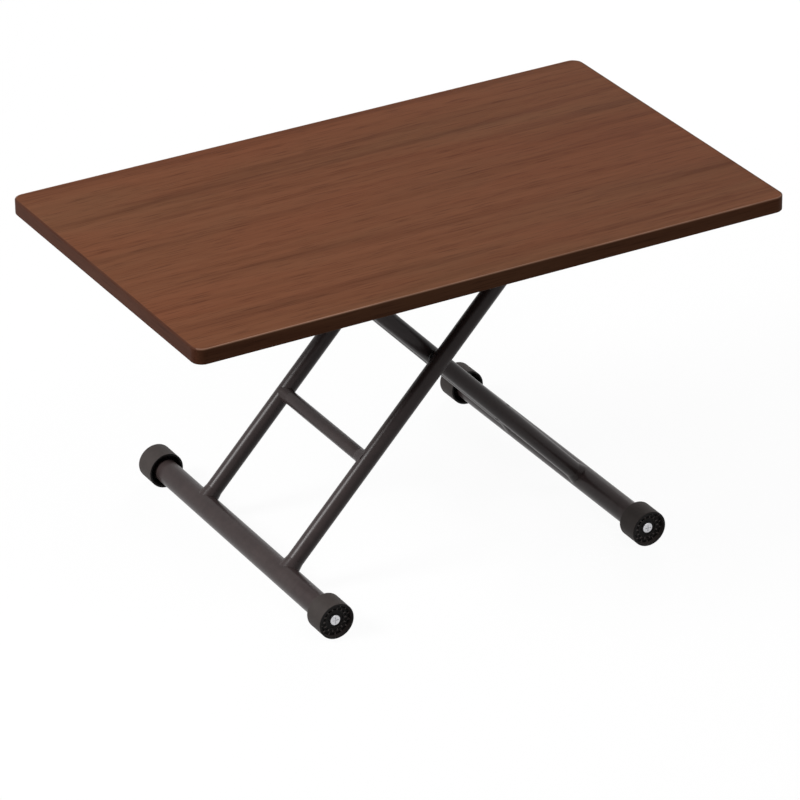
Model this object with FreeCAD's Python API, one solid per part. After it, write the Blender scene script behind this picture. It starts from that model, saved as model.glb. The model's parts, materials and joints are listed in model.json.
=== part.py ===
import FreeCAD, Part
import math
import os

# Folding coffee table on scissor legs, standing at its middle height.
# Millimetres and degrees. X runs along the top, Y across it, Z up.
# The origin is on the floor, under the middle of the top.
# The near side is -Y and the far side is +Y.

os.makedirs("parts", exist_ok=True)
Vector = FreeCAD.Vector
ALONG_X = Vector(1, 0, 0)
ALONG_Y = Vector(0, 1, 0)
ALONG_Z = Vector(0, 0, 1)
SIDES = {"near": -1, "far": 1}

# Table top
TOP_LENGTH = 1000.0
TOP_WIDTH = 600.0
TOP_THICKNESS = 25.0
CORNER_RADIUS = 18.0
BAND_THICKNESS = 2.5
EDGE_ROUND = 2.0

# Scissor: lengths along a leg, and the leg's slope as it stands, folded and raised
FOOT_TO_CROSS = 398.0
CROSS_TO_TOP = 244.0
LEG_ANGLE = 46.6
FOLDED_ANGLE = 6.5
RAISED_ANGLE = 70.0
SCISSOR_X = -5.0
PIVOT_DROP = 18.0

# Leg frames
LEG_DIAMETER = 27.0
LEG_WALL = 1.5
LEG_GAP = 4.0
OUTER_LEG_Y = 130.0
LEG_END_MARGIN = 1.0
LEG_PLUG_DEPTH = 24.0
RUNG_DIAMETER = 22.0
RUNG_WALL = 1.2
FOOT_TO_RUNG = 212.0
FOOT_TUBE_DIAMETER = 38.0
FOOT_TUBE_WALL = 1.5
WELD_WIDTH = 3.5
WELD_RISE = 9.0

# Wheels, and the plugs and screws that carry them
WHEEL_DIAMETER = 58.0
WHEEL_WIDTH = 40.0
WHEEL_WALL = 3.0
WHEEL_WEB = 12.0
WHEEL_EDGE_ROUND = 1.6
WHEEL_RIM_ROUND = 1.2
FACE_RIM = 3.2
FACE_RECESS = 8.0
RIDGE_COUNT = 2
RIDGE_WIDTH = 2.0
RIDGE_HEIGHT = 1.6
HUB_DIAMETER = 20.0
HUB_BOSS = 4.0
WHEEL_FACE_SPAN = 586.0
TUBE_PLUG_FLANGE = 3.0
TUBE_PLUG_DEPTH = 24.0
WHEEL_SHANK_DIAMETER = 8.0
WHEEL_THREAD_DIAMETER = 6.0
WHEEL_THREAD_LENGTH = 18.0
WHEEL_HEAD_DIAMETER = 17.0
WHEEL_HEAD_HEIGHT = 3.4
WHEEL_HEAD_ROUND = 1.6

# Pivot bolts, nuts and washers
BOLT_DIAMETER = 8.0
BOLT_HEAD_DIAMETER = 18.0
BOLT_HEAD_HEIGHT = 4.0
BOLT_HEAD_ROUND = 2.0
BOLT_TIP = 2.0
NUT_FLATS = 13.0
NUT_HEIGHT = 6.5
WASHER_DIAMETER = 20.0
WASHER_THICKNESS = 1.6
BUSH_WALL = 2.0
INSERT_WALL = 2.0
INSERT_LENGTH = 15.0

# Fixed pivot brackets under the top
BRACKET_WALL = 2.0
BRACKET_BACK = 38.0
BRACKET_FRONT = 42.0
CHEEK_RADIUS = 16.0
CHEEK_GAP = 0.5
BRACKET_SCREW_BACK = 27.0
BRACKET_SCREW_FRONT = 32.0
BRACKET_SCREW_SPREAD = 8.0

# Slide rails, their rollers and the axle between them
RAIL_WALL = 2.0
RAIL_FLANGE = 20.0
LEG_TO_RAIL = 6.0
RAIL_STOP_LENGTH = 14.0
RAIL_SCREW_COUNT = 5
RAIL_SCREW_END = 20.0
ROLLER_WIDTH = 16.0
ROLLER_SIDE_GAP = 1.5
ROLLER_CHAMFER = 1.0
AXLE_DIAMETER = 14.0
SPACER_DIAMETER = 20.0

# Guide rod along the middle, which the friction lock grips
GUIDE_DIAMETER = 10.0
GUIDE_BELOW_AXLE = 3.0
GUIDE_PLATE = 3.0
GUIDE_PLATE_HALF_WIDTH = 14.0
GUIDE_PLATE_BELOW = 9.0
GUIDE_FOOT = 24.0
GUIDE_SCREW_SPREAD = 8.0
GUIDE_SCREW_OUT = 14.0
GUIDE_NUT_FLATS = 17.0
GUIDE_NUT_HEIGHT = 6.0
GUIDE_MARGIN = 10.0

# Friction lock: a yoke on the axle, a tilted plate on the guide rod and its release bar
YOKE_BACK = 16.0
YOKE_FRONT = 44.0
YOKE_HALF_WIDTH = 16.0
YOKE_RISE = 10.0
YOKE_DROP = 26.0
YOKE_WALL = 2.5
LEVER_PIN_DIAMETER = 5.0
LEVER_PIN_X = 20.0
LEVER_PIN_DROP = 2.0
LEVER_TILT = 8.0
LEVER_PLATE = 4.0
LEVER_KNUCKLE_DIAMETER = 11.0
LEVER_SIDE_GAP = 1.0
LEVER_ARM_DROP = 33.5
LEVER_ARM_HALF_WIDTH = 6.0
LEVER_ARM_THICKNESS = 5.0
RELEASE_BAR_X = 60.0
RELEASE_BAR_DIAMETER = 8.0
RELEASE_BOSS_DIAMETER = 15.0
RELEASE_GRIP_DIAMETER = 13.0
RELEASE_GRIP_LENGTH = 46.0
RELEASE_GRIP_END = 3.0
RELEASE_GRIP_Y = 198.0
RELEASE_BAR_TAIL = 12.0
SPRING_THICKNESS = 0.8
SPRING_WIDTH = 4.5
SPRING_BULGE = 4.0
SPRING_ROOT_RISE = 6.0
SPRING_TIP_DROP = 3.0

# Wood screws into the underside of the top
SCREW_DIAMETER = 4.0
SCREW_LENGTH = 18.0
SCREW_HEAD_DIAMETER = 8.5
SCREW_HEAD_HEIGHT = 2.6
SCREW_HEAD_ROUND = 1.2
CROSS_SLOT_SHARE = 0.62
CROSS_SLOT_WIDTH = 1.3
CROSS_SLOT_DEPTH = 1.2

# Fits: radial running clearance, gap between parts that pass each other, axial play
RUNNING_CLEARANCE = 0.05
PASSING_GAP = 0.3
AXIAL_PLAY = 0.4

# Worked out from the values above
LEG_RADIUS = LEG_DIAMETER / 2
LEG_BORE = LEG_RADIUS - LEG_WALL
LEG_LENGTH = FOOT_TO_CROSS + CROSS_TO_TOP
LEG_END_RADIUS = LEG_RADIUS + LEG_END_MARGIN
INNER_LEG_Y = OUTER_LEG_Y - LEG_DIAMETER - LEG_GAP
FOOT_RADIUS = FOOT_TUBE_DIAMETER / 2
RUNG_RADIUS = RUNG_DIAMETER / 2
WHEEL_RADIUS = WHEEL_DIAMETER / 2
COSINE = math.cos(math.radians(LEG_ANGLE))
SINE = math.sin(math.radians(LEG_ANGLE))
FOOT_Z = WHEEL_RADIUS
PIVOT_Z = FOOT_Z + LEG_LENGTH * SINE
UNDERSIDE_Z = PIVOT_Z + PIVOT_DROP
TOP_Z = UNDERSIDE_Z + TOP_THICKNESS
OUTER_FOOT_X = SCISSOR_X - FOOT_TO_CROSS * COSINE
INNER_FOOT_X = SCISSOR_X + FOOT_TO_CROSS * COSINE
PIVOT_X = SCISSOR_X - CROSS_TO_TOP * COSINE
OUTER_DIRECTION = Vector(COSINE, 0, SINE)
INNER_DIRECTION = Vector(-COSINE, 0, SINE)

WHEEL_FACE_Y = WHEEL_FACE_SPAN / 2
WHEEL_SEAT_Y = WHEEL_FACE_Y - FACE_RECESS
HUB_INNER_Y = WHEEL_FACE_Y - WHEEL_WEB - HUB_BOSS
TUBE_PLUG_Y = HUB_INNER_Y - AXIAL_PLAY
FOOT_TUBE_END_Y = TUBE_PLUG_Y - TUBE_PLUG_FLANGE

RAIL_INNER_Y = OUTER_LEG_Y + LEG_RADIUS + LEG_TO_RAIL
ROLLER_INNER_Y = RAIL_INNER_Y + ROLLER_SIDE_GAP
ROLLER_OUTER_Y = ROLLER_INNER_Y + ROLLER_WIDTH
RAIL_WEB_Y = ROLLER_OUTER_Y + ROLLER_SIDE_GAP
RAIL_OUTER_Y = RAIL_WEB_Y + RAIL_WALL
RAIL_FLANGE_Y = RAIL_OUTER_Y + RAIL_FLANGE
RAIL_BOTTOM_Z = PIVOT_Z - PIVOT_DROP
ROLLER_RADIUS = PIVOT_DROP - RAIL_WALL - PASSING_GAP
AXLE_RADIUS = AXLE_DIAMETER / 2
GUIDE_RADIUS = GUIDE_DIAMETER / 2
GUIDE_Z = PIVOT_Z - AXLE_RADIUS - GUIDE_BELOW_AXLE - GUIDE_RADIUS


def slide_x(angle):
    """Where the slide axle is when the legs slope at this angle."""
    return PIVOT_X + 2 * CROSS_TO_TOP * math.cos(math.radians(angle))


SLIDE_X = slide_x(LEG_ANGLE)
RAIL_START_X = slide_x(RAISED_ANGLE) - ROLLER_RADIUS - PASSING_GAP - RAIL_STOP_LENGTH
RAIL_END_X = slide_x(FOLDED_ANGLE) + ROLLER_RADIUS + PASSING_GAP + RAIL_STOP_LENGTH
LEVER_X = SLIDE_X + LEVER_PIN_X
LEVER_Z = PIVOT_Z - LEVER_PIN_DROP
ARM_Z = PIVOT_Z - LEVER_ARM_DROP
BAR_X = SLIDE_X + RELEASE_BAR_X
GUIDE_LEFT_X = slide_x(RAISED_ANGLE) - YOKE_BACK - GUIDE_NUT_HEIGHT - GUIDE_MARGIN
BOSS_END_X = slide_x(FOLDED_ANGLE) + RELEASE_BAR_X + RELEASE_BOSS_DIAMETER / 2
GUIDE_RIGHT_X = BOSS_END_X + GUIDE_NUT_HEIGHT + GUIDE_MARGIN


def box(x_from, x_to, y_from, y_to, z_from, z_to):
    """A block between two corners, given in any order along Y."""
    y_low = min(y_from, y_to)
    corner = Vector(x_from, y_low, z_from)
    return Part.makeBox(x_to - x_from, abs(y_to - y_from), z_to - z_from, corner)


def rod_y(x, z, y_from, y_to, radius):
    """A round bar along Y, with its ends given in any order."""
    base = Vector(x, min(y_from, y_to), z)
    return Part.makeCylinder(radius, abs(y_to - y_from), base, ALONG_Y)


def ring_y(x, z, y_from, y_to, outer, inner):
    return rod_y(x, z, y_from, y_to, outer).cut(rod_y(x, z, y_from, y_to, inner))


def hexagon(centre, axis, flats, height, bore):
    """A nut: a six-sided block with a round hole."""
    corner_radius = flats / math.sqrt(3)
    if axis == ALONG_X:
        across = ALONG_Y
    else:
        across = ALONG_X
    upward = axis.cross(across)
    points = []
    for step in range(7):
        turn = math.radians(60 * step)
        sideways = across * (corner_radius * math.cos(turn))
        points.append(centre + sideways + upward * (corner_radius * math.sin(turn)))
    block = Part.Face(Part.makePolygon(points)).extrude(axis * height)
    return block.cut(Part.makeCylinder(bore, height, centre, axis))


def circle_edges(shape, axis_value, coordinate, radius):
    """The round edges of one radius that lie in one plane across an axis."""
    found = []
    for edge in shape.Edges:
        middle = edge.BoundBox.Center
        flat = abs(getattr(middle, coordinate) - axis_value) < 1e-4
        if flat and isinstance(edge.Curve, Part.Circle) and abs(edge.Curve.Radius - radius) < 1e-4:
            found.append(edge)
    return found


def rounded_plate(inset, height, base_z):
    """The outline of the top, drawn in by an inset, as a plate with round corners."""
    half_length = TOP_LENGTH / 2 - inset
    half_width = TOP_WIDTH / 2 - inset
    plate = box(-half_length, half_length, -half_width, half_width, base_z, base_z + height)
    uprights = [edge for edge in plate.Edges if abs(edge.BoundBox.ZLength - height) < 1e-4]
    return plate.makeFillet(CORNER_RADIUS - inset, uprights)


def cross_slots(shape, centre, axis, diameter):
    """Cut a cross recess into a screw head whose top is at the centre point."""
    half = diameter * CROSS_SLOT_SHARE / 2
    thin = CROSS_SLOT_WIDTH / 2
    for reach_a, reach_b in ((half, thin), (thin, half)):
        slot = Part.makeBox(2 * reach_a, 2 * reach_b, 2 * CROSS_SLOT_DEPTH)
        slot.translate(Vector(-reach_a, -reach_b, -CROSS_SLOT_DEPTH))
        slot.Placement = FreeCAD.Placement(centre, FreeCAD.Rotation(ALONG_Z, axis)).multiply(slot.Placement)
        shape = shape.cut(slot)
    return shape


def wood_screw(x, y, seat_z):
    """A pan-head screw driven upwards, with its head under the seat."""
    head_bottom = seat_z - SCREW_HEAD_HEIGHT
    head = Part.makeCylinder(SCREW_HEAD_DIAMETER / 2, SCREW_HEAD_HEIGHT, Vector(x, y, head_bottom), ALONG_Z)
    head = head.makeFillet(SCREW_HEAD_ROUND, circle_edges(head, head_bottom, "z", SCREW_HEAD_DIAMETER / 2))
    head = cross_slots(head, Vector(x, y, head_bottom), ALONG_Z * -1, SCREW_HEAD_DIAMETER)
    shank = Part.makeCylinder(SCREW_DIAMETER / 2, SCREW_LENGTH, Vector(x, y, seat_z), ALONG_Z)
    return head.fuse(shank).removeSplitter()


def save(name, shape):
    """Write one node, after checking that its solids are sound."""
    if not shape.isValid() or not shape.Solids:
        raise ValueError(name + " is not a sound solid")
    shape.exportStep(os.path.join("parts", name + ".step"))
    print(name, len(shape.Solids), round(shape.Volume, 1))


# Where each group of wood screws goes: X, Y and the height of its seat
def rail_screw_places():
    places = []
    run = RAIL_END_X - RAIL_START_X - 2 * RAIL_SCREW_END
    flange_middle = (RAIL_OUTER_Y + RAIL_FLANGE_Y) / 2
    for side in SIDES.values():
        for step in range(RAIL_SCREW_COUNT):
            x = RAIL_START_X + RAIL_SCREW_END + run * step / (RAIL_SCREW_COUNT - 1)
            places.append((x, side * flange_middle, UNDERSIDE_Z - RAIL_WALL))
    return places


def bracket_screw_places():
    places = []
    for side in SIDES.values():
        for x in (PIVOT_X - BRACKET_SCREW_BACK, PIVOT_X + BRACKET_SCREW_FRONT):
            for spread in (-BRACKET_SCREW_SPREAD, BRACKET_SCREW_SPREAD):
                places.append((x, side * INNER_LEG_Y + spread, UNDERSIDE_Z - BRACKET_WALL))
    return places


def guide_screw_places():
    places = []
    for x in (GUIDE_LEFT_X - GUIDE_SCREW_OUT, GUIDE_RIGHT_X + GUIDE_SCREW_OUT):
        for spread in (-GUIDE_SCREW_SPREAD, GUIDE_SCREW_SPREAD):
            places.append((x, spread, UNDERSIDE_Z - GUIDE_PLATE))
    return places


def screw_holes(places):
    holes = []
    for x, y, seat_z in places:
        holes.append(Part.makeCylinder(SCREW_DIAMETER / 2, SCREW_LENGTH, Vector(x, y, seat_z), ALONG_Z))
    return Part.makeCompound(holes)


# Table top
def make_top():
    all_places = rail_screw_places() + bracket_screw_places() + guide_screw_places()
    panel = rounded_plate(BAND_THICKNESS, TOP_THICKNESS, UNDERSIDE_Z)
    whole = rounded_plate(0, TOP_THICKNESS, UNDERSIDE_Z)
    rim = []
    for edge in whole.Edges:
        if edge.BoundBox.ZLength < 1e-4:
            rim.append(edge)
    band = whole.makeFillet(EDGE_ROUND, rim).cut(panel)
    save("tabletop_panel", panel.cut(screw_holes(all_places)))
    save("edge_band", band)


# Slide rails: a channel open towards the middle, with a flange outside it for the screws
def make_rails():
    holes = screw_holes(rail_screw_places())
    stops = []
    for name, side in SIDES.items():
        web = box(RAIL_START_X, RAIL_END_X, side * RAIL_WEB_Y, side * RAIL_OUTER_Y,
                  RAIL_BOTTOM_Z, UNDERSIDE_Z)
        upper = box(RAIL_START_X, RAIL_END_X, side * RAIL_INNER_Y, side * RAIL_FLANGE_Y,
                    UNDERSIDE_Z - RAIL_WALL, UNDERSIDE_Z)
        lower = box(RAIL_START_X, RAIL_END_X, side * RAIL_INNER_Y, side * RAIL_OUTER_Y,
                    RAIL_BOTTOM_Z, RAIL_BOTTOM_Z + RAIL_WALL)
        rail = web.fuse([upper, lower]).removeSplitter().cut(holes)
        save("slide_rail_" + name, rail)
        for x in (RAIL_START_X, RAIL_END_X - RAIL_STOP_LENGTH):
            stops.append(box(x, x + RAIL_STOP_LENGTH, side * RAIL_INNER_Y, side * RAIL_WEB_Y,
                             RAIL_BOTTOM_Z + RAIL_WALL, UNDERSIDE_Z - RAIL_WALL))
    save("rail_end_stops", Part.makeCompound(stops))
    save("rail_screws", Part.makeCompound([wood_screw(*place) for place in rail_screw_places()]))


# Fixed pivot of the inner frame: a U-shaped bracket for each leg, with a bolt and a nut
def make_pivot_brackets():
    holes = screw_holes(bracket_screw_places())
    bolts = []
    nuts = []
    for name, side in SIDES.items():
        middle = side * INNER_LEG_Y
        half_inside = LEG_RADIUS + CHEEK_GAP
        half_outside = half_inside + BRACKET_WALL
        bracket = box(PIVOT_X - BRACKET_BACK, PIVOT_X + BRACKET_FRONT, middle - half_outside,
                      middle + half_outside, UNDERSIDE_Z - BRACKET_WALL, UNDERSIDE_Z)
        for hand in (-1, 1):
            inside = middle + hand * half_inside
            outside = middle + hand * half_outside
            plate = box(PIVOT_X - CHEEK_RADIUS, PIVOT_X + CHEEK_RADIUS, inside, outside,
                        PIVOT_Z, UNDERSIDE_Z)
            round_end = rod_y(PIVOT_X, PIVOT_Z, inside, outside, CHEEK_RADIUS)
            bracket = bracket.fuse([plate, round_end])
        bracket = bracket.removeSplitter().cut(holes)
        bolt_hole = rod_y(PIVOT_X, PIVOT_Z, middle - half_outside, middle + half_outside, BOLT_DIAMETER / 2)
        save("pivot_bracket_" + name, bracket.cut(bolt_hole))

        outer_seat = middle + side * half_outside
        inner_seat = middle - side * half_outside
        bolts.append(headed_bolt(PIVOT_X, PIVOT_Z, outer_seat, inner_seat - side * (NUT_HEIGHT + BOLT_TIP)))
        nuts.append(nut_y(PIVOT_X, PIVOT_Z, inner_seat, inner_seat - side * NUT_HEIGHT))
    save("top_pivot_bolts", Part.makeCompound(bolts))
    save("top_pivot_nuts", Part.makeCompound(nuts))
    save("bracket_screws", Part.makeCompound([wood_screw(*place) for place in bracket_screw_places()]))


def headed_bolt(x, z, seat_y, tip_y):
    """A bolt along Y with a low round head; the head lies on the side away from the tip."""
    outward = math.copysign(1, seat_y - tip_y)
    head_end = seat_y + outward * BOLT_HEAD_HEIGHT
    head = rod_y(x, z, seat_y, head_end, BOLT_HEAD_DIAMETER / 2)
    head = head.makeFillet(BOLT_HEAD_ROUND, circle_edges(head, head_end, "y", BOLT_HEAD_DIAMETER / 2))
    return head.fuse(rod_y(x, z, seat_y, tip_y, BOLT_DIAMETER / 2)).removeSplitter()


def nut_y(x, z, y_from, y_to):
    base = Vector(x, min(y_from, y_to), z)
    return hexagon(base, ALONG_Y, NUT_FLATS, abs(y_to - y_from), BOLT_DIAMETER / 2)


# Guide rod, held at both ends by an angle plate and a pair of nuts
def make_guide():
    rod_holes = Part.makeCylinder(GUIDE_RADIUS, GUIDE_RIGHT_X - GUIDE_LEFT_X + 2 * GUIDE_FOOT,
                                  Vector(GUIDE_LEFT_X - GUIDE_FOOT, 0, GUIDE_Z), ALONG_X)
    holes = screw_holes(guide_screw_places())
    nuts = []
    for name, x, outward in (("left", GUIDE_LEFT_X, -1), ("right", GUIDE_RIGHT_X, 1)):
        half = GUIDE_PLATE / 2
        upright = box(x - half, x + half, -GUIDE_PLATE_HALF_WIDTH, GUIDE_PLATE_HALF_WIDTH,
                      GUIDE_Z - GUIDE_PLATE_BELOW, UNDERSIDE_Z)
        foot_ends = sorted((x - outward * half, x + outward * GUIDE_FOOT))
        foot = box(foot_ends[0], foot_ends[1], -GUIDE_PLATE_HALF_WIDTH, GUIDE_PLATE_HALF_WIDTH,
                   UNDERSIDE_Z - GUIDE_PLATE, UNDERSIDE_Z)
        bracket = upright.fuse(foot).removeSplitter()
        save("guide_bracket_" + name, bracket.cut(holes).cut(rod_holes))
        for start in (x - half - GUIDE_NUT_HEIGHT, x + half):
            nuts.append(hexagon(Vector(start, 0, GUIDE_Z), ALONG_X, GUIDE_NUT_FLATS, GUIDE_NUT_HEIGHT,
                                GUIDE_RADIUS))
    overhang = GUIDE_PLATE / 2 + GUIDE_NUT_HEIGHT + BOLT_TIP
    rod = Part.makeCylinder(GUIDE_RADIUS, GUIDE_RIGHT_X - GUIDE_LEFT_X + 2 * overhang,
                            Vector(GUIDE_LEFT_X - overhang, 0, GUIDE_Z), ALONG_X)
    save("guide_rod", rod)
    save("guide_rod_nuts", Part.makeCompound(nuts))
    save("guide_bracket_screws", Part.makeCompound([wood_screw(*place) for place in guide_screw_places()]))


def weld_flare(base, direction, radius, tube_radius):
    """The smooth swelling of a weld, where a tube stands square on a larger or equal tube."""
    foot_radius = radius + WELD_WIDTH
    start = math.sqrt(max(tube_radius ** 2 - foot_radius ** 2, 0))
    height = tube_radius + WELD_RISE - start
    return Part.makeCone(foot_radius, radius, height, base + direction * start, direction)


def leg_end_waste(pivot, direction, y):
    """What is cut away beyond the top pivot to leave a leg's end round."""
    beyond = Part.makeCylinder(LEG_DIAMETER, LEG_DIAMETER, pivot, direction)
    return beyond.cut(rod_y(pivot.x, pivot.z, y - LEG_DIAMETER, y + LEG_DIAMETER, LEG_END_RADIUS))


def make_leg(foot_x, direction, y, pivot_hole, cross_hole, cross_reach):
    """A leg tube, shaped to its foot tube, with a round top end and its two cross holes.

    The hole at the crossing comes from the middle of the table and ends cross_reach past the leg's axis.
    """
    base = Vector(foot_x, y, FOOT_Z)
    length = LEG_LENGTH + LEG_END_RADIUS
    leg = Part.makeCylinder(LEG_RADIUS, length, base, direction)
    leg = leg.fuse(weld_flare(base, direction, LEG_RADIUS, FOOT_RADIUS)).removeSplitter()
    leg = leg.cut(Part.makeCylinder(LEG_BORE, length, base, direction))
    leg = leg.cut(rod_y(foot_x, FOOT_Z, y - FOOT_TUBE_DIAMETER, y + FOOT_TUBE_DIAMETER, FOOT_RADIUS))
    pivot = base + direction * LEG_LENGTH
    crossing = base + direction * FOOT_TO_CROSS
    leg = leg.cut(leg_end_waste(pivot, direction, y))
    leg = leg.cut(rod_y(pivot.x, pivot.z, y - LEG_DIAMETER, y + LEG_DIAMETER, pivot_hole))
    outward = math.copysign(1, y)
    hole_start = y - outward * LEG_DIAMETER
    return leg.cut(rod_y(crossing.x, crossing.z, hole_start, y + outward * cross_reach, cross_hole))


def make_leg_plug(foot_x, direction, y, bore):
    """The moulded plug in a leg's top end, which is also the bearing of its pivot."""
    pivot = Vector(foot_x, y, FOOT_Z) + direction * LEG_LENGTH
    base = pivot - direction * LEG_PLUG_DEPTH
    plug = Part.makeCylinder(LEG_BORE, LEG_PLUG_DEPTH + LEG_END_RADIUS, base, direction)
    plug = plug.cut(leg_end_waste(pivot, direction, y))
    return plug.cut(rod_y(pivot.x, pivot.z, y - LEG_DIAMETER, y + LEG_DIAMETER, bore))


def make_rung(foot_x, direction, leg_y):
    """The cross tube between two legs, shaped to both."""
    centre = Vector(foot_x, 0, FOOT_Z) + direction * FOOT_TO_RUNG
    rung = rod_y(centre.x, centre.z, -leg_y, leg_y, RUNG_RADIUS)
    for side in SIDES.values():
        base = Vector(centre.x, side * leg_y, centre.z)
        rung = rung.fuse(weld_flare(base, ALONG_Y * -side, RUNG_RADIUS, LEG_RADIUS))
    rung = rung.removeSplitter()
    rung = rung.cut(rod_y(centre.x, centre.z, -leg_y, leg_y, RUNG_RADIUS - RUNG_WALL))
    for side in SIDES.values():
        base = Vector(foot_x, side * leg_y, FOOT_Z)
        rung = rung.cut(Part.makeCylinder(LEG_RADIUS, LEG_LENGTH, base, direction))
    return rung


def make_frame(frame_name, foot_x, direction, leg_y, pivot_hole, plug_bore, cross_hole, cross_reach):
    """One welded leg frame: two legs, a rung and a foot tube, with the plugs in its ends."""
    leg_plugs = []
    tube_plugs = []
    for name, side in SIDES.items():
        leg = make_leg(foot_x, direction, side * leg_y, pivot_hole, cross_hole, cross_reach)
        save(frame_name + "_leg_" + name, leg)
        leg_plugs.append(make_leg_plug(foot_x, direction, side * leg_y, plug_bore))
        flange = rod_y(foot_x, FOOT_Z, side * FOOT_TUBE_END_Y, side * TUBE_PLUG_Y, FOOT_RADIUS)
        spigot_end = side * (FOOT_TUBE_END_Y - TUBE_PLUG_DEPTH)
        spigot = rod_y(foot_x, FOOT_Z, side * FOOT_TUBE_END_Y, spigot_end, FOOT_RADIUS - FOOT_TUBE_WALL)
        thread_end = side * (TUBE_PLUG_Y - WHEEL_THREAD_LENGTH)
        thread = rod_y(foot_x, FOOT_Z, side * TUBE_PLUG_Y, thread_end, WHEEL_THREAD_DIAMETER / 2)
        tube_plugs.append(flange.fuse(spigot).removeSplitter().cut(thread))
    save(frame_name + "_leg_plugs", Part.makeCompound(leg_plugs))
    save(frame_name + "_tube_plugs", Part.makeCompound(tube_plugs))
    save(frame_name + "_rung", make_rung(foot_x, direction, leg_y))
    foot_tube = ring_y(foot_x, FOOT_Z, -FOOT_TUBE_END_Y, FOOT_TUBE_END_Y, FOOT_RADIUS,
                       FOOT_RADIUS - FOOT_TUBE_WALL)
    save(frame_name + "_foot_tube", foot_tube)


# Scissor pivot: a bolt through each inner leg, turning in its bush, is screwed into the outer leg
def make_scissor_pivot():
    cross_x = SCISSOR_X
    cross_z = FOOT_Z + FOOT_TO_CROSS * SINE
    bolt_radius = BOLT_DIAMETER / 2
    inner_face = INNER_LEG_Y - LEG_RADIUS
    inner_leg_outside = INNER_LEG_Y + LEG_RADIUS
    outer_leg_inside = OUTER_LEG_Y - LEG_RADIUS
    washer_y = inner_face - PASSING_GAP
    head_seat = washer_y - WASHER_THICKNESS
    insert_end = outer_leg_inside + INSERT_LENGTH
    bolts = []
    washers = []
    spacers = []
    bushes = []
    inserts = []
    for side in SIDES.values():
        bolts.append(headed_bolt(cross_x, cross_z, side * head_seat, side * insert_end))
        washers.append(ring_y(cross_x, cross_z, side * washer_y, side * head_seat,
                              WASHER_DIAMETER / 2, bolt_radius))
        spacers.append(ring_y(cross_x, cross_z, side * (inner_leg_outside + PASSING_GAP),
                              side * outer_leg_inside, WASHER_DIAMETER / 2, bolt_radius))
        bushes.append(ring_y(cross_x, cross_z, side * inner_face, side * inner_leg_outside,
                             bolt_radius + BUSH_WALL, bolt_radius + RUNNING_CLEARANCE))
        inserts.append(ring_y(cross_x, cross_z, side * outer_leg_inside, side * insert_end,
                              bolt_radius + INSERT_WALL, bolt_radius))
    save("scissor_bolts", Part.makeCompound(bolts))
    save("scissor_washers", Part.makeCompound(washers))
    save("scissor_spacers", Part.makeCompound(spacers))
    save("scissor_bushes", Part.makeCompound(bushes))
    save("scissor_inserts", Part.makeCompound(inserts))


# Wheels: a cup over the end of the foot tube, turning on a shouldered screw
def make_wheel(foot_x, side):
    face = side * WHEEL_FACE_Y
    rim = side * (WHEEL_FACE_Y - WHEEL_WIDTH)
    wheel = rod_y(foot_x, FOOT_Z, face, rim, WHEEL_RADIUS)
    wheel = wheel.makeFillet(WHEEL_EDGE_ROUND, circle_edges(wheel, face, "y", WHEEL_RADIUS))
    wheel = wheel.makeFillet(WHEEL_RIM_ROUND, circle_edges(wheel, rim, "y", WHEEL_RADIUS))
    web = side * (WHEEL_FACE_Y - WHEEL_WEB)
    wheel = wheel.cut(rod_y(foot_x, FOOT_Z, rim, web, WHEEL_RADIUS - WHEEL_WALL))
    seat = side * WHEEL_SEAT_Y
    face_radius = WHEEL_RADIUS - FACE_RIM
    wheel = wheel.cut(rod_y(foot_x, FOOT_Z, seat, face, face_radius))
    ridge_top = side * (WHEEL_SEAT_Y + RIDGE_HEIGHT)
    hub_radius = HUB_DIAMETER / 2
    spacing = (face_radius - hub_radius) / (RIDGE_COUNT + 1)
    for step in range(RIDGE_COUNT):
        middle = hub_radius + spacing * (step + 1)
        wheel = wheel.fuse(ring_y(foot_x, FOOT_Z, seat, ridge_top, middle + RIDGE_WIDTH / 2,
                                  middle - RIDGE_WIDTH / 2))
    wheel = wheel.fuse(rod_y(foot_x, FOOT_Z, web, side * HUB_INNER_Y, hub_radius)).removeSplitter()
    bore_radius = WHEEL_SHANK_DIAMETER / 2 + RUNNING_CLEARANCE
    return wheel.cut(rod_y(foot_x, FOOT_Z, face, side * HUB_INNER_Y, bore_radius))


def make_wheel_screw(foot_x, side):
    seat = side * (WHEEL_SEAT_Y + AXIAL_PLAY / 2)
    head_end = seat + side * WHEEL_HEAD_HEIGHT
    head = rod_y(foot_x, FOOT_Z, seat, head_end, WHEEL_HEAD_DIAMETER / 2)
    head = head.makeFillet(WHEEL_HEAD_ROUND, circle_edges(head, head_end, "y", WHEEL_HEAD_DIAMETER / 2))
    head = cross_slots(head, Vector(foot_x, head_end, FOOT_Z), ALONG_Y * side, WHEEL_HEAD_DIAMETER)
    shank = rod_y(foot_x, FOOT_Z, seat, side * TUBE_PLUG_Y, WHEEL_SHANK_DIAMETER / 2)
    thread = rod_y(foot_x, FOOT_Z, side * TUBE_PLUG_Y, side * (TUBE_PLUG_Y - WHEEL_THREAD_LENGTH),
                   WHEEL_THREAD_DIAMETER / 2)
    return head.fuse([shank, thread]).removeSplitter()


def make_wheels(frame_name, foot_x):
    screws = []
    for name, side in SIDES.items():
        save(frame_name + "_wheel_" + name, make_wheel(foot_x, side))
        screws.append(make_wheel_screw(foot_x, side))
    save(frame_name + "_wheel_screws", Part.makeCompound(screws))


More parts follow.
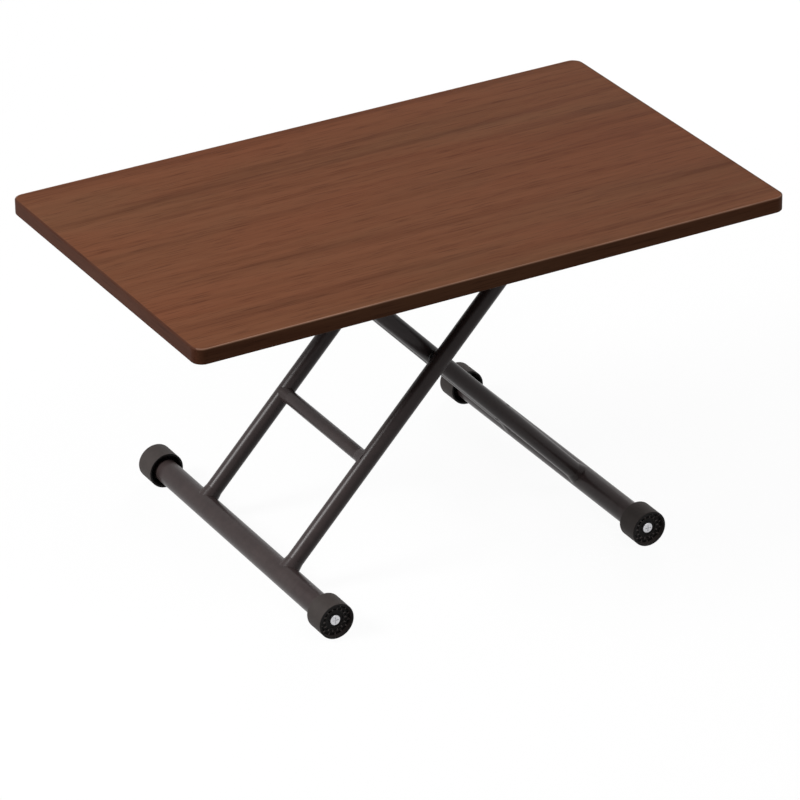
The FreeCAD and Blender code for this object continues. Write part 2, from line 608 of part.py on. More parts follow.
# Slide axle across the tops of the outer legs, with a roller in each rail
def make_slide():
    axle_end = RAIL_WEB_Y - PASSING_GAP
    save("slide_axle", rod_y(SLIDE_X, PIVOT_Z, -axle_end, axle_end, AXLE_RADIUS))
    spacers = []
    for name, side in SIDES.items():
        roller = ring_y(SLIDE_X, PIVOT_Z, side * ROLLER_INNER_Y, side * ROLLER_OUTER_Y, ROLLER_RADIUS,
                        AXLE_RADIUS + RUNNING_CLEARANCE)
        corners = []
        for end in (ROLLER_INNER_Y, ROLLER_OUTER_Y):
            corners += circle_edges(roller, side * end, "y", ROLLER_RADIUS)
        save("slide_roller_" + name, roller.makeChamfer(ROLLER_CHAMFER, corners))
        spacers.append(ring_y(SLIDE_X, PIVOT_Z, side * (OUTER_LEG_Y + LEG_RADIUS),
                              side * (ROLLER_INNER_Y - PASSING_GAP), SPACER_DIAMETER / 2, AXLE_RADIUS))
    save("axle_spacers", Part.makeCompound(spacers))


# Friction lock: the tilted plate bites on the guide rod until the bar is squeezed up
def make_lock():
    inside = YOKE_HALF_WIDTH - YOKE_WALL
    low = PIVOT_Z - YOKE_DROP
    high = PIVOT_Z + YOKE_RISE
    back = SLIDE_X - YOKE_BACK
    front = SLIDE_X + YOKE_FRONT
    front_wall = front - YOKE_WALL
    yoke = box(back, front, -YOKE_HALF_WIDTH, YOKE_HALF_WIDTH, low, high)
    yoke = yoke.cut(box(back + YOKE_WALL, front_wall, -inside, inside, low, high))
    axle_hole_radius = AXLE_RADIUS + RUNNING_CLEARANCE
    axle_hole = rod_y(SLIDE_X, PIVOT_Z, -YOKE_HALF_WIDTH, YOKE_HALF_WIDTH, axle_hole_radius)
    pin = rod_y(LEVER_X, LEVER_Z, -YOKE_HALF_WIDTH, YOKE_HALF_WIDTH, LEVER_PIN_DIAMETER / 2)
    guide_start = Vector(back, 0, GUIDE_Z)
    guide_hole = Part.makeCylinder(GUIDE_RADIUS + PASSING_GAP, front - back, guide_start, ALONG_X)
    save("lock_yoke", yoke.cut(axle_hole).cut(pin).cut(guide_hole))
    save("lever_pin", pin)

    tilt = math.radians(LEVER_TILT)
    plate_half = inside - LEVER_SIDE_GAP
    bite = (GUIDE_DIAMETER + LEVER_PLATE * math.sin(tilt)) / math.cos(tilt)
    bite_radius = bite / 2 + RUNNING_CLEARANCE
    bite_z = LEVER_Z - (LEVER_Z - GUIDE_Z) / math.cos(tilt)
    arm_low = ARM_Z - LEVER_ARM_THICKNESS / 2
    arm_high = ARM_Z + LEVER_ARM_THICKNESS / 2
    plate_left = LEVER_X - LEVER_PLATE / 2
    plate = box(plate_left, plate_left + LEVER_PLATE, -plate_half, plate_half, arm_low, LEVER_Z)
    plate = plate.cut(Part.makeCylinder(bite_radius, LEVER_PLATE, Vector(plate_left, 0, bite_z), ALONG_X))
    plate.rotate(Vector(LEVER_X, 0, LEVER_Z), ALONG_Y, LEVER_TILT)
    plate_foot = LEVER_X - (LEVER_Z - ARM_Z) * math.tan(tilt)
    arm = box(plate_foot, BAR_X, -LEVER_ARM_HALF_WIDTH, LEVER_ARM_HALF_WIDTH, arm_low, arm_high)
    boss = rod_y(BAR_X, ARM_Z, -LEVER_ARM_HALF_WIDTH, LEVER_ARM_HALF_WIDTH, RELEASE_BOSS_DIAMETER / 2)
    knuckle = rod_y(LEVER_X, LEVER_Z, -plate_half, plate_half, LEVER_KNUCKLE_DIAMETER / 2)
    lever = plate.fuse([knuckle, arm, boss]).removeSplitter()
    pin_radius = LEVER_PIN_DIAMETER / 2 + RUNNING_CLEARANCE
    lever = lever.cut(rod_y(LEVER_X, LEVER_Z, -plate_half, plate_half, pin_radius))
    bar_radius = RELEASE_BAR_DIAMETER / 2
    bar_near = -RELEASE_GRIP_Y + RELEASE_GRIP_END
    save("lock_lever", lever.cut(rod_y(BAR_X, ARM_Z, -plate_half, plate_half, bar_radius)))
    save("release_bar", rod_y(BAR_X, ARM_Z, bar_near, RELEASE_BAR_TAIL, bar_radius))
    grip_radius = RELEASE_GRIP_DIAMETER / 2
    grip = rod_y(BAR_X, ARM_Z, -RELEASE_GRIP_Y, -RELEASE_GRIP_Y + RELEASE_GRIP_LENGTH, grip_radius)
    grip = grip.makeFillet(RELEASE_GRIP_END / 2, circle_edges(grip, -RELEASE_GRIP_Y, "y", grip_radius))
    save("release_grip", grip.cut(rod_y(BAR_X, ARM_Z, bar_near, 0, bar_radius)))

    # Two leaf springs beside the guide rod push the plate's lower end back
    root = Vector(front_wall, 0, GUIDE_Z + SPRING_ROOT_RISE)
    tip_z = GUIDE_Z - SPRING_TIP_DROP
    plate_face = LEVER_X - (LEVER_Z - tip_z) * math.tan(tilt) + LEVER_PLATE / 2 / math.cos(tilt)
    tip = Vector(plate_face + PASSING_GAP + SPRING_THICKNESS / 2, 0, tip_z)
    middle = (root + tip) * 0.5 + Vector(0, 0, -SPRING_BULGE)
    lift = Vector(0, 0, SPRING_THICKNESS)
    lower = Part.Arc(root, middle, tip).toShape()
    upper = Part.Arc(root + lift, middle + lift, tip + lift).toShape()
    outline = Part.Wire([lower, Part.makeLine(tip, tip + lift), upper, Part.makeLine(root + lift, root)])
    springs = []
    for side in SIDES.values():
        strip = Part.Face(outline).extrude(ALONG_Y * (side * SPRING_WIDTH))
        strip.translate(ALONG_Y * (side * (GUIDE_RADIUS + AXIAL_PLAY)))
        springs.append(strip)
    save("lock_springs", Part.makeCompound(springs))


def main():
    make_top()
    make_rails()
    make_pivot_brackets()
    make_guide()
    bolt_hole = BOLT_DIAMETER / 2 + PASSING_GAP
    bush_hole = BOLT_DIAMETER / 2 + BUSH_WALL
    insert_hole = BOLT_DIAMETER / 2 + INSERT_WALL
    make_frame("inner", INNER_FOOT_X, INNER_DIRECTION, INNER_LEG_Y, bolt_hole,
               BOLT_DIAMETER / 2 + RUNNING_CLEARANCE, bush_hole, LEG_DIAMETER)
    make_frame("outer", OUTER_FOOT_X, OUTER_DIRECTION, OUTER_LEG_Y, AXLE_RADIUS, AXLE_RADIUS,
               insert_hole, 0)
    make_scissor_pivot()
    make_wheels("inner", INNER_FOOT_X)
    make_wheels("outer", OUTER_FOOT_X)
    make_slide()
    make_lock()
    print("height", round(TOP_Z, 2), "pivot x", round(PIVOT_X, 3), "pivot z", round(PIVOT_Z, 3))
    print("slide x", round(SLIDE_X, 3), "cross z", round(FOOT_Z + FOOT_TO_CROSS * SINE, 3))


main()
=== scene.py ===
"""Folding coffee table: finishes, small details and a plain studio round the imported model."""
import json
import math
from typing import NamedTuple

import bmesh
import bpy
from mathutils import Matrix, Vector


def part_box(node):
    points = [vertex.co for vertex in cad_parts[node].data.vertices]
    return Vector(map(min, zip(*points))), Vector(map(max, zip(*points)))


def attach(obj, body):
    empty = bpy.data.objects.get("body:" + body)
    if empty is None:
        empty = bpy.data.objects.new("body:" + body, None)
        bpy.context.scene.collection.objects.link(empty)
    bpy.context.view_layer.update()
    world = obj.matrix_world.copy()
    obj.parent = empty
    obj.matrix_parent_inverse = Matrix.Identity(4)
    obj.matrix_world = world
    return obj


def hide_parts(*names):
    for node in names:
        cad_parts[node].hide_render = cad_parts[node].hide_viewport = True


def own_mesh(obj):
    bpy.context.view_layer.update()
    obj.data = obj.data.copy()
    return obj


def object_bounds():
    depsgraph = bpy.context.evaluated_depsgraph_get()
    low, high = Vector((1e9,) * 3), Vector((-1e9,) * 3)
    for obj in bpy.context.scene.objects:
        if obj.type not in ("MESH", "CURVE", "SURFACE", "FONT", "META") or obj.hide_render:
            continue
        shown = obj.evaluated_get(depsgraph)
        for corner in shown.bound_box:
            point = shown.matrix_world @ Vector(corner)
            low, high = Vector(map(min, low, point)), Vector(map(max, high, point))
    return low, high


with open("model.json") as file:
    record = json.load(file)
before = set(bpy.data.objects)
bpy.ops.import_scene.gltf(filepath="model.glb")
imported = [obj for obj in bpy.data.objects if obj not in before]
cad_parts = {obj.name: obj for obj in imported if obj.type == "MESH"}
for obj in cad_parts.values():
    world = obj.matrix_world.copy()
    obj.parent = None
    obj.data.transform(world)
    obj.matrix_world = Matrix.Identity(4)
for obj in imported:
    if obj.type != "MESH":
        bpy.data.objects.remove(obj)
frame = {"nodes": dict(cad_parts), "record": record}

cad_low, cad_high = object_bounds()
scene = bpy.context.scene
nodes = frame["nodes"]


class Noise(NamedTuple):
    """A noise texture; the stretch is how much finer it gets along X, Y and Z."""
    scale: float
    detail: float
    roughness: float
    distortion: float = 0.0
    stretch: tuple = (1.0, 1.0, 1.0)


class Grained(NamedTuple):
    """Powder coat, plastic or rubber; the tones for its end faces, if any, paint shade on them."""
    dark: tuple
    light: tuple
    roughness: tuple
    grain_scale: float
    grain_strength: float
    specular: float
    painted_shade_tones: tuple = ()


class Steel(NamedTuple):
    """Plated steel; the stretch draws its fine lines out along X, Y and Z."""
    dark: tuple
    light: tuple
    roughness: tuple
    stretch: tuple


class Lamp(NamedTuple):
    """A soft round lamp; without sheen it leaves no highlight of its own."""
    place: tuple
    target: tuple
    power: float
    size: float
    sheen: bool = True


# Ribs on the wheel faces, in metres; each ring has its inner and outer radius, and its turn in steps
FACE_RIB_COUNT = 14
FACE_RIB_RINGS = ((0.016, 0.0198, 0.0), (0.0213, 0.0259, 0.5))
FACE_RIB_WIDTH = 0.0024
FACE_RIB_HEIGHT = 0.0016
FACE_RIB_SINK = 0.0003
FACE_RIB_TOP_SHARE = 0.7
WHEEL_FACE_RECESS = 0.008

# Tones are pairs of a place along a noise or share, and a display colour of 0 to 255
WHITE = (255, 255, 255)

# Walnut-grain laminate: broad figure, streaks, dark bands and fine pores, all along the grain
WALNUT_SPECULAR = 0.03
FIGURE = Noise(1.6, 4.0, 0.5, 0.5, stretch=(0.9, 5.0, 5.0))
FIGURE_TONES = ((0.32, (105, 62, 41)), (0.5, (103, 63, 42)), (0.68, (100, 64, 43)))
STREAKS = Noise(1.9, 7.0, 0.62, 0.35, stretch=(1.3, 34.0, 34.0))
STREAK_TONES = ((0.3, (214, 206, 202)), (0.6, WHITE))
STREAK_AMOUNT = 0.5
BANDS = Noise(2.3, 3.0, 0.55, 0.6, stretch=(0.55, 17.0, 17.0))
BAND_TONES = ((0.52, WHITE), (0.7, (184, 166, 158)))
BAND_AMOUNT = 0.5
PORES = Noise(2.0, 3.0, 0.6, stretch=(9.0, 210.0, 210.0))
PORE_TONES = ((0.33, (168, 154, 146)), (0.47, WHITE))
PORE_AMOUNT = 0.55
PORE_STRENGTH = 0.12
PORE_DEPTH = 0.0004
TOP_SHADE = 1.0
TOP_ROUGHNESS = (0.44, 0.56)

# Edge band: painted shade makes it darker than the top, and darkest on the short sides
EDGE_PAINTED_SHADE = 0.8
EDGE_ROUGHNESS = (0.4, 0.52)
SHORT_SIDE_PAINTED_SHADE_TONES = ((0.0, WHITE), (1.0, (208, 204, 214)))

# Rubbed upper corner of the band, partly wear and partly a painted highlight: its patches, and the shares
# left between them and on the short sides
RIM_WEAR_AND_HIGHLIGHT_PATCHES = Noise(9.0, 4.0, 0.6)
RIM_WEAR_AND_HIGHLIGHT_PATCH_RISE = (0.4, 0.7)
RIM_WEAR_AND_HIGHLIGHT_LEAST = 0.6
RIM_WEAR_AND_HIGHLIGHT_SHORT_SIDES = 0.1
RIM_WEAR_AND_HIGHLIGHT_TONES = ((0.3, (132, 98, 80)), (0.7, (150, 116, 98)))

# How far the rub and its painted highlight reach down, and the short sides and the round corners reach in,
# in metres
RIM_WEAR_AND_HIGHLIGHT_DEPTH = 0.0022
SHORT_SIDE_DEPTH = 0.004
CORNER_TURN = 0.012

# Places along a cloudy noise where a finish has its dark and its light tone
CLOUD_PLACES = (0.3, 0.7)

# Grained skins: slow clouds of tone, rubbed spots that change tone and gloss, and a fine grain
SKIN_CLOUDS = Noise(14.0, 5.0, 0.6)
SKIN_RUBBED = Noise(85.0, 6.0, 0.7)
SKIN_RUB_TONES = ((0.35, (222, 222, 222)), (0.6, WHITE))
SKIN_RUB_AMOUNT = 0.6
SKIN_GRAIN_DETAIL = 2.0
SKIN_GRAIN_ROUGHNESS = 0.5
SKIN_GRAIN_DEPTH = 0.0003
# Painted shade on a wheel's faces across Y: how it rises with the facing, and its tones
END_FACE_RISE = (0.4, 0.8)
WHEEL_FACE_SHADE_TONES = ((0.0, WHITE), (1.0, (84, 80, 80)))
GRAINED_FINISHES = {
    "powder_coat": Grained((52, 43, 43), (60, 51, 50), (0.27, 0.36), 1500.0, 0.2, 0.17),
    "wheel_plastic": Grained((53, 48, 46), (62, 56, 54), (0.54, 0.68), 2200.0, 0.25, 0.14, WHEEL_FACE_SHADE_TONES),
    "wheel_ribs": Grained((84, 76, 75), (98, 90, 88), (0.4, 0.55), 2200.0, 0.25, 0.2),
    "black_plastic": Grained((30, 29, 29), (38, 36, 36), (0.5, 0.64), 2200.0, 0.2, 0.4),
    "nylon": Grained((214, 210, 196), (226, 223, 212), (0.42, 0.55), 1800.0, 0.12, 0.5),
    "rubber": Grained((24, 24, 24), (33, 32, 32), (0.72, 0.86), 1600.0, 0.25, 0.35),
}

# Plated steel: cloudy plating over fine drawing lines
STEEL_SPECULAR = 0.5
STEEL_CLOUDS = Noise(40.0, 5.0, 0.6)
STEEL_LINES = Noise(5.0, 4.0, 0.65)
STEEL_LINE_TONES = ((0.3, (214, 214, 216)), (0.65, WHITE))
STEEL_LINE_AMOUNT = 0.7
STEEL_LINE_STRENGTH = 0.08
STEEL_LINE_DEPTH = 0.0002
PRESSED_LINES = (4.0, 120.0, 120.0)
TURNED_LINES = (90.0, 90.0, 90.0)
STEEL_FINISHES = {
    "plated_steel": Steel((150, 150, 154), (178, 178, 180), (0.34, 0.5), PRESSED_LINES),
    "bright_steel": Steel((188, 188, 192), (214, 214, 216), (0.24, 0.36), TURNED_LINES),
}

# Studio floor: its paint in view, the paint that it lights the table with, how clear it is in view,
# and the distances from its middle between which it clears away
FLOOR_SIZE = 40.0
FLOOR_PAINT = (0.9, 0.9, 0.9, 1.0)
FLOOR_BOUNCE = (0.28, 0.28, 0.28, 1.0)
FLOOR_CLEARNESS = 0.95
FLOOR_FADE_NEAR = 0.9
FLOOR_FADE_FAR = 2.6

# Studio light: the white ground in view, the faint light from all round, and the lamps
GROUND_STRENGTH = 1.0
AMBIENT_STRENGTH = 0.1
LAMPS = {
    "key_lamp": Lamp((0.4, -1.7, 3.2), (0.0, 0.0, 0.4), 40.0, 1.8),
    "back_lamp": Lamp((2.3, 2.6, 1.3), (0.0, 0.0, 0.25), 70.0, 1.2, sheen=False),
    "left_lamp": Lamp((-3.4, 0.6, 2.8), (0.0, 0.0, 0.25), 196.0, 1.6),
}

# Camera, as solved from the straight edges of the table in the photograph
CAMERA_PLACE = (-3.25965, -5.74555, 3.64586)
CAMERA_TURN = (62.4, 0.5801, -29.8634)
CAMERA_LENS = 218.63
CAMERA_SENSOR = 36.0
CAMERA_REACH = 100.0


# Small builders for node materials
def linear(display_colour):
    """A display colour, 0 to 255, as the linear colour that a shader takes."""
    channels = []
    for value in display_colour:
        share = value / 255
        if share <= 0.04045:
            channels.append(share / 12.92)
        else:
            channels.append(((share + 0.055) / 1.055) ** 2.4)
    return (*channels, 1.0)


def start_material(name, metallic, specular):
    material = bpy.data.materials.new(name)
    material.use_nodes = True
    tree = material.node_tree
    shader = tree.nodes["Principled BSDF"]
    shader.inputs["Metallic"].default_value = metallic
    shader.inputs["Specular IOR Level"].default_value = specular
    return material, tree, shader


def feed(tree, socket, value):
    """Sets a socket to a number, or links another node's output to it."""
    if isinstance(value, bpy.types.NodeSocket):
        tree.links.new(value, socket)
    else:
        socket.default_value = value


def object_place(tree):
    """Each point's place on the part, in metres."""
    return tree.nodes.new("ShaderNodeTexCoord").outputs["Object"]


def object_facing(tree):
    """The way that each point's surface faces on the part."""
    return tree.nodes.new("ShaderNodeTexCoord").outputs["Normal"]


def part_of(tree, vector, axis):
    """One coordinate of a place or of a facing."""
    parts = tree.nodes.new("ShaderNodeSeparateXYZ")
    tree.links.new(vector, parts.inputs["Vector"])
    return parts.outputs[axis]


def maths(tree, operation, *values):
    """One sum on numbers or other nodes' outputs."""
    node = tree.nodes.new("ShaderNodeMath")
    node.operation = operation
    for socket, value in zip(node.inputs, values):
        feed(tree, socket, value)
    return node.outputs["Value"]


def noise(tree, place, layer):
    mapping = tree.nodes.new("ShaderNodeMapping")
    mapping.inputs["Scale"].default_value = layer.stretch
    tree.links.new(place, mapping.inputs["Vector"])
    texture = tree.nodes.new("ShaderNodeTexNoise")
    texture.inputs["Scale"].default_value = layer.scale
    texture.inputs["Detail"].default_value = layer.detail
    texture.inputs["Roughness"].default_value = layer.roughness
    texture.inputs["Distortion"].default_value = layer.distortion
    tree.links.new(mapping.outputs["Vector"], texture.inputs["Vector"])
    return texture.outputs["Fac"]


def rising(tree, value, low, high):
    """0 where the value is low, 1 where it is high."""
    riser = tree.nodes.new("ShaderNodeMapRange")
    riser.inputs["From Min"].default_value = low
    riser.inputs["From Max"].default_value = high
    tree.links.new(value, riser.inputs["Value"])
    return riser.outputs["Result"]


def spread(tree, factor, low, high):
    """A factor of 0 to 1 spread between two values."""
    spreader = tree.nodes.new("ShaderNodeMapRange")
    spreader.inputs["To Min"].default_value = low
    spreader.inputs["To Max"].default_value = high
    tree.links.new(factor, spreader.inputs["Value"])
    return spreader.outputs["Result"]


def colour_ramp(tree, factor, tones):
    ramp = tree.nodes.new("ShaderNodeValToRGB")
    elements = ramp.color_ramp.elements
    while len(elements) < len(tones):
        elements.new(0.5)
    for element, (position, display_colour) in zip(elements, tones):
        element.position = position
        element.color = linear(display_colour)
    tree.links.new(factor, ramp.inputs["Fac"])
    return ramp.outputs["Color"]


def mixed(tree, mode, amount, base, layer):
    """Two colours put together; the amount is a number or another node's output."""
    mix = tree.nodes.new("ShaderNodeMix")
    mix.data_type = "RGBA"
    mix.blend_type = mode
    feed(tree, mix.inputs["Factor"], amount)
    feed(tree, mix.inputs["A"], base)
    feed(tree, mix.inputs["B"], layer)
    return mix.outputs["Result"]


def darkened(tree, amount, base, factor, tones):
    """A colour multiplied, by an amount, with tones that follow a factor."""
    return mixed(tree, "MULTIPLY", amount, base, colour_ramp(tree, factor, tones))


def finish_surface(tree, shader, colour, roughness, height, strength, depth):
    """Gives the shader its colour, its roughness and a bump from a height."""
    bump = tree.nodes.new("ShaderNodeBump")
    bump.inputs["Strength"].default_value = strength
    bump.inputs["Distance"].default_value = depth
    tree.links.new(height, bump.inputs["Height"])
    tree.links.new(bump.outputs["Normal"], shader.inputs["Normal"])
    tree.links.new(colour, shader.inputs["Base Color"])
    tree.links.new(roughness, shader.inputs["Roughness"])


# Walnut-grain laminate on the top and its edge band
def walnut_colour(tree, place, streaks, pores, shade):
    """Figure with streaks, bands and pores over it; the shade, a painted shade, makes it darker than the
    top.
    """
    tones = []
    for position, colour in FIGURE_TONES:
        tones.append((position, [value * shade for value in colour]))
    base = colour_ramp(tree, noise(tree, place, FIGURE), tones)
    base = darkened(tree, STREAK_AMOUNT, base, streaks, STREAK_TONES)
    base = darkened(tree, BAND_AMOUNT, base, noise(tree, place, BANDS), BAND_TONES)
    return darkened(tree, PORE_AMOUNT, base, pores, PORE_TONES)


def finish_walnut(tree, shader, colour, streaks, pores, roughness):
    """Smoother where the streaks are pale, with the pores pressed in."""
    smooth, rough = roughness
    gloss = spread(tree, streaks, rough, smooth)
    finish_surface(tree, shader, colour, gloss, pores, PORE_STRENGTH, PORE_DEPTH)


def make_laminate(name):
    material, tree, shader = start_material(name, 0.0, WALNUT_SPECULAR)
    place = object_place(tree)
    streaks = noise(tree, place, STREAKS)
    pores = noise(tree, place, PORES)
    colour = walnut_colour(tree, place, streaks, pores, TOP_SHADE)
    finish_walnut(tree, shader, colour, streaks, pores, TOP_ROUGHNESS)
    return material


def reach_from_middle(tree, place):
    """How far a point is from the table's middle along its length."""
    return maths(tree, "ABSOLUTE", part_of(tree, place, "X"))


def short_sides(tree, place):
    """1 on the band's two short sides, 0 on its long ones."""
    return maths(tree, "GREATER_THAN", reach_from_middle(tree, place), cad_high.x - SHORT_SIDE_DEPTH)


def rim_wear_and_highlight(tree, place):
    """How far the band is rubbed at its upper corner, wear and a painted highlight: most along the long
    sides, and in patches.
    """
    height = rising(tree, part_of(tree, place, "Z"), cad_high.z - RIM_WEAR_AND_HIGHLIGHT_DEPTH, cad_high.z)
    patches = rising(tree, noise(tree, place, RIM_WEAR_AND_HIGHLIGHT_PATCHES), *RIM_WEAR_AND_HIGHLIGHT_PATCH_RISE)
    sides = spread(tree, short_sides(tree, place), 1.0, RIM_WEAR_AND_HIGHLIGHT_SHORT_SIDES)
    rubbed = maths(tree, "MULTIPLY", height, spread(tree, patches, RIM_WEAR_AND_HIGHLIGHT_LEAST, 1.0))
    return maths(tree, "MULTIPLY", rubbed, sides)


def along_the_edge(tree, place):
    """Places turned so that the grain follows the band on the short sides too."""
    turned = tree.nodes.new("ShaderNodeMapping")
    turned.inputs["Rotation"].default_value = (0.0, 0.0, math.radians(90))
    tree.links.new(place, turned.inputs["Vector"])
    choose = tree.nodes.new("ShaderNodeMix")
    choose.data_type = "VECTOR"
    tree.links.new(short_sides(tree, place), choose.inputs["Factor"])
    tree.links.new(place, choose.inputs["A"])
    tree.links.new(turned.outputs["Vector"], choose.inputs["B"])
    return choose.outputs["Result"]


def make_edge_band(name):
    material, tree, shader = start_material(name, 0.0, WALNUT_SPECULAR)
    place = object_place(tree)
    grain_place = along_the_edge(tree, place)
    streaks = noise(tree, grain_place, STREAKS)
    pores = noise(tree, grain_place, PORES)
    # The band's walnut, made darker than the top by a painted shade
    colour = walnut_colour(tree, grain_place, streaks, pores, EDGE_PAINTED_SHADE)
    # Wear and a painted highlight, paler along the band's upper corner
    rim_wear_and_highlight_colour = colour_ramp(tree, streaks, RIM_WEAR_AND_HIGHLIGHT_TONES)
    colour = mixed(tree, "MIX", rim_wear_and_highlight(tree, place), colour, rim_wear_and_highlight_colour)
    # Painted shade on the short sides, rising over the round corners towards the ends
    short_side_shade_mask = rising(tree, reach_from_middle(tree, place), cad_high.x - CORNER_TURN, cad_high.x)
    colour = darkened(tree, 1.0, colour, short_side_shade_mask, SHORT_SIDE_PAINTED_SHADE_TONES)
    finish_walnut(tree, shader, colour, streaks, pores, EDGE_ROUGHNESS)
    return material


# Powder coat, plastic, rubber and steel
def cloudy_colour(tree, place, clouds, look):
    """A finish's dark tone shifting slowly to its light one."""
    tones = tuple(zip(CLOUD_PLACES, (look.dark, look.light)))
    return colour_ramp(tree, noise(tree, place, clouds), tones)


def shaded_end_faces(tree):
    """Where painted shade goes: 1 on faces across Y, such as a wheel's, and 0 on those along it, such as
    its tread.
    """
    across = maths(tree, "ABSOLUTE", part_of(tree, object_facing(tree), "Y"))
    return rising(tree, across, *END_FACE_RISE)


def make_grained(name, look):
    material, tree, shader = start_material(name, 0.0, look.specular)
    place = object_place(tree)
    rubbed = noise(tree, place, SKIN_RUBBED)
    grain = noise(tree, place, Noise(look.grain_scale, SKIN_GRAIN_DETAIL, SKIN_GRAIN_ROUGHNESS))
    colour = cloudy_colour(tree, place, SKIN_CLOUDS, look)
    colour = darkened(tree, SKIN_RUB_AMOUNT, colour, rubbed, SKIN_RUB_TONES)
    # Painted shade on the end faces, if the finish has tones for it
    if look.painted_shade_tones:
        colour = darkened(tree, 1.0, colour, shaded_end_faces(tree), look.painted_shade_tones)
    gloss = spread(tree, rubbed, *look.roughness)
    finish_surface(tree, shader, colour, gloss, grain, look.grain_strength, SKIN_GRAIN_DEPTH)
    return material


def make_steel(name, look):
    material, tree, shader = start_material(name, 1.0, STEEL_SPECULAR)
    place = object_place(tree)
    lines = noise(tree, place, STEEL_LINES._replace(stretch=look.stretch))
    colour = cloudy_colour(tree, place, STEEL_CLOUDS, look)
    colour = darkened(tree, STEEL_LINE_AMOUNT, colour, lines, STEEL_LINE_TONES)
    gloss = spread(tree, lines, *look.roughness)
    finish_surface(tree, shader, colour, gloss, lines, STEEL_LINE_STRENGTH, STEEL_LINE_DEPTH)
    return material


finishes = {
    "walnut_laminate": make_laminate("walnut_laminate"),
    "walnut_edge": make_edge_band("walnut_edge"),
}
for finish_name, grained_look in GRAINED_FINISHES.items():
    finishes[finish_name] = make_grained(finish_name, grained_look)
for finish_name, steel_look in STEEL_FINISHES.items():
    finishes[finish_name] = make_steel(finish_name, steel_look)

# Each CAD node takes the finish of its slot in the record
for subpart in frame["record"]["subparts"]:
    node_mesh = nodes[subpart["node"]].data
    node_mesh.materials.clear()
    node_mesh.materials.append(finishes[subpart["material_slot"]])


def add_piece(name, mesh_builder, body, finish):
    """A new mesh piece that rides on a body."""
    mesh = bpy.data.meshes.new(name)
    mesh_builder.to_mesh(mesh)
    mesh_builder.free()
    mesh.materials.append(finishes[finish])
    piece = bpy.data.objects.new(name, mesh)
    scene.collection.objects.link(piece)
    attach(piece, body)
    return piece


# Moulded ribs in two rings on each wheel's face, the outer ring half a step on
def add_rib(builder, middle, outward, turn, inner, outer):
    """One rib out from the middle of a wheel's face, narrower at its top."""
    radial = Vector((math.cos(turn), 0, math.sin(turn)))
    sideways = Vector((-math.sin(turn), 0, math.cos(turn)))
    corners = []
    for height, width_share in ((-FACE_RIB_SINK, 1.0), (FACE_RIB_HEIGHT, FACE_RIB_TOP_SHARE)):
        half_width = width_share * FACE_RIB_WIDTH / 2
        level = middle + Vector((0, outward * height, 0))
        for reach, hand in ((inner, -1), (inner, 1), (outer, 1), (outer, -1)):
            corners.append(builder.verts.new(level + radial * reach + sideways * (hand * half_width)))
    builder.faces.new(corners[4:])
    builder.faces.new(list(reversed(corners[:4])))
    for side in range(4):
        after = (side + 1) % 4
        builder.faces.new((corners[side], corners[after], corners[after + 4], corners[side + 4]))


def add_face_ribs(wheel_name):
    low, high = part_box(wheel_name)
    centre = (low + high) / 2
    outward = math.copysign(1, centre.y)
    face_y = high.y if outward > 0 else low.y
    middle = Vector((centre.x, face_y - outward * WHEEL_FACE_RECESS, centre.z))
    builder = bmesh.new()
    for inner, outer, shift in FACE_RIB_RINGS:
        for step in range(FACE_RIB_COUNT):
            turn = 2 * math.pi * (step + shift) / FACE_RIB_COUNT
            add_rib(builder, middle, outward, turn, inner, outer)
    bmesh.ops.recalc_face_normals(builder, faces=builder.faces)
    add_piece(wheel_name + "_face_ribs", builder, wheel_name, "wheel_ribs")


# Leaf springs of the lock, on the yoke's front wall, as a piece of their own that rides on the lock
def add_leaf_springs():
    builder = bmesh.new()
    builder.from_mesh(nodes["lock_springs"].data)
    springs = add_piece("lock_leaf_springs", builder, "lock", "bright_steel")
    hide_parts("lock_springs")
    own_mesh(springs)


# Studio: a pale floor that keeps a faint shadow on a white ground, and soft lamps
def seen_directly(tree):
    """1 for camera, glossy and transmission rays."""
    path = tree.nodes.new("ShaderNodeLightPath")
    seen = path.outputs["Is Camera Ray"]
    for kind in ("Is Glossy Ray", "Is Transmission Ray"):
        seen = maths(tree, "MAXIMUM", seen, path.outputs[kind])
    return seen


def floor_clearness(tree):
    """Clear to shadow rays and from below, and mostly clear in view, more so with distance."""
    distance = tree.nodes.new("ShaderNodeVectorMath")
    distance.operation = "LENGTH"
    tree.links.new(object_place(tree), distance.inputs[0])
    faded = rising(tree, distance.outputs["Value"], FLOOR_FADE_NEAR, FLOOR_FADE_FAR)
    in_view = maths(tree, "MULTIPLY", seen_directly(tree), spread(tree, faded, FLOOR_CLEARNESS, 1.0))
    shadow = tree.nodes.new("ShaderNodeLightPath").outputs["Is Shadow Ray"]
    below = tree.nodes.new("ShaderNodeNewGeometry").outputs["Backfacing"]
    return maths(tree, "MAXIMUM", maths(tree, "MAXIMUM", in_view, shadow), below)


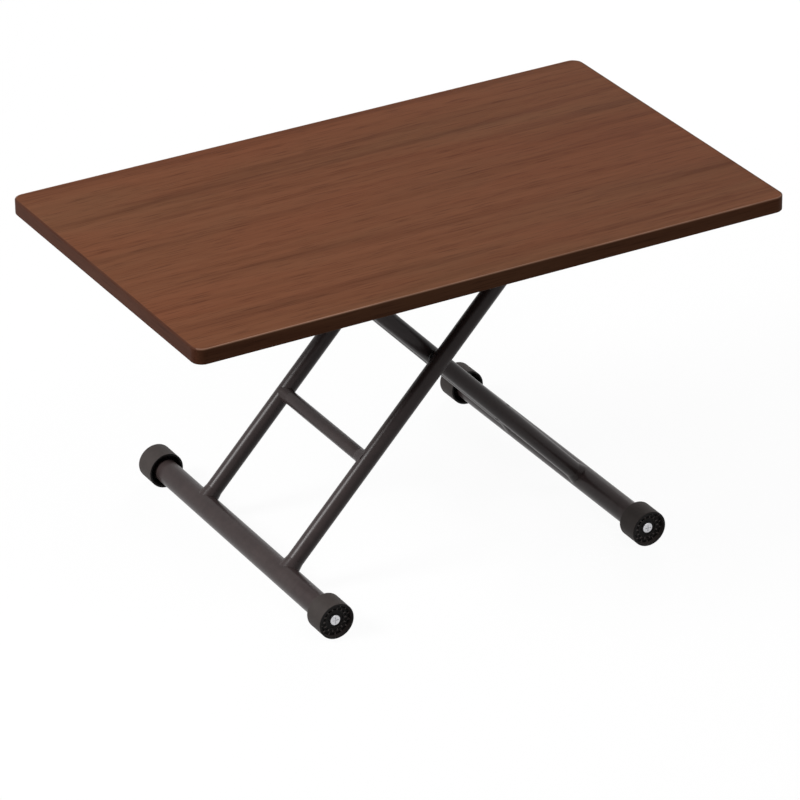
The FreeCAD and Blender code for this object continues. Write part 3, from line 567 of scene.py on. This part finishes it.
def make_floor():
    """A floor through which the white ground shows, and anything lowered past it."""
    material = bpy.data.materials.new("studio_floor")
    material.use_nodes = True
    tree = material.node_tree
    tree.nodes.clear()
    in_view = tree.nodes.new("ShaderNodeLightPath").outputs["Is Camera Ray"]
    paint = tree.nodes.new("ShaderNodeBsdfDiffuse")
    tree.links.new(mixed(tree, "MIX", in_view, FLOOR_BOUNCE, FLOOR_PAINT), paint.inputs["Color"])
    clear = tree.nodes.new("ShaderNodeBsdfTransparent")
    blend = tree.nodes.new("ShaderNodeMixShader")
    tree.links.new(floor_clearness(tree), blend.inputs["Fac"])
    tree.links.new(paint.outputs["BSDF"], blend.inputs[1])
    tree.links.new(clear.outputs["BSDF"], blend.inputs[2])
    output = tree.nodes.new("ShaderNodeOutputMaterial")
    tree.links.new(blend.outputs["Shader"], output.inputs["Surface"])
    bpy.ops.mesh.primitive_plane_add(size=FLOOR_SIZE, location=(0.0, 0.0, 0.0))
    floor = bpy.context.object
    floor.name = "studio_floor"
    floor.data.materials.append(material)


def add_background(tree, strength):
    background = tree.nodes.new("ShaderNodeBackground")
    background.inputs["Color"].default_value = (1.0, 1.0, 1.0, 1.0)
    background.inputs["Strength"].default_value = strength
    return background.outputs["Background"]


def make_world():
    """White where it is seen directly, and faint where it only lights the table."""
    world = bpy.data.worlds.new("studio_world")
    scene.world = world
    world.use_nodes = True
    tree = world.node_tree
    tree.nodes.clear()
    choose = tree.nodes.new("ShaderNodeMixShader")
    tree.links.new(seen_directly(tree), choose.inputs["Fac"])
    tree.links.new(add_background(tree, AMBIENT_STRENGTH), choose.inputs[1])
    tree.links.new(add_background(tree, GROUND_STRENGTH), choose.inputs[2])
    output = tree.nodes.new("ShaderNodeOutputWorld")
    tree.links.new(choose.outputs["Shader"], output.inputs["Surface"])


def add_lamp(name, lamp):
    data = bpy.data.lights.new(name, "AREA")
    data.shape = "DISK"
    data.energy = lamp.power
    data.size = lamp.size
    light = bpy.data.objects.new(name, data)
    light.location = lamp.place
    light.rotation_euler = (Vector(lamp.target) - Vector(lamp.place)).to_track_quat("-Z", "Y").to_euler()
    light.visible_glossy = lamp.sheen
    scene.collection.objects.link(light)


def add_camera():
    data = bpy.data.cameras.new("camera")
    data.sensor_width = CAMERA_SENSOR
    data.lens = CAMERA_LENS
    data.clip_end = CAMERA_REACH
    camera = bpy.data.objects.new("camera", data)
    camera.location = CAMERA_PLACE
    camera.rotation_euler = [math.radians(angle) for angle in CAMERA_TURN]
    scene.collection.objects.link(camera)
    scene.camera = camera


for frame_name in ("inner", "outer"):
    for side_name in ("near", "far"):
        add_face_ribs(frame_name + "_wheel_" + side_name)
add_leaf_springs()
make_floor()
make_world()
for lamp_name, lamp_look in LAMPS.items():
    add_lamp(lamp_name, lamp_look)
add_camera()
scene.view_settings.view_transform = "Standard"
